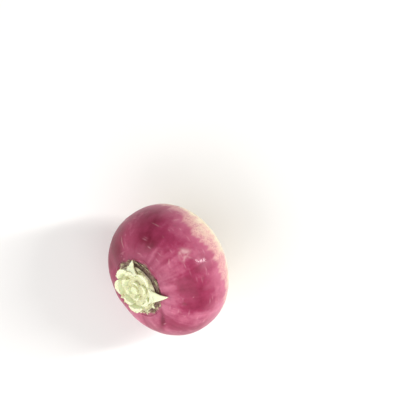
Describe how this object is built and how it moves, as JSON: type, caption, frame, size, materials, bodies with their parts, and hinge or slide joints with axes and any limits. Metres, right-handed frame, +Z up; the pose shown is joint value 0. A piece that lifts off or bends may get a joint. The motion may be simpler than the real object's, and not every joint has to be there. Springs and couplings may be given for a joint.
{
  "type": "turnip",
  "caption": "Purple-topped turnip root lying on its flank, a squat rounded body with trimmed leaf-stalk stubs in its crown and a short cut tail.",
  "frame": {"origin": "centre of the small flat spot that the turnip rests on, under its centre of mass", "axes": "+Z up from the surface; the crown points up and over towards -X and a little -Y, 50 degrees from straight up, and the tail points down and over the other way"},
  "size_m": [0.0592, 0.0647, 0.0593],
  "materials": {
    "root_skin": "fresh thin root skin, smooth and waxy, magenta purple from the crown to below the waist and cream white towards the tail, with corky tan scars round the crown",
    "stalk_flesh": "pale green-white cut leaf stalks, moist and matt, browned at the edges"
  },
  "bodies": {
    "root": {"turnip_root": "root_skin", "leaf_stalk_stubs": "stalk_flesh"}
  },
  "joints": []
}
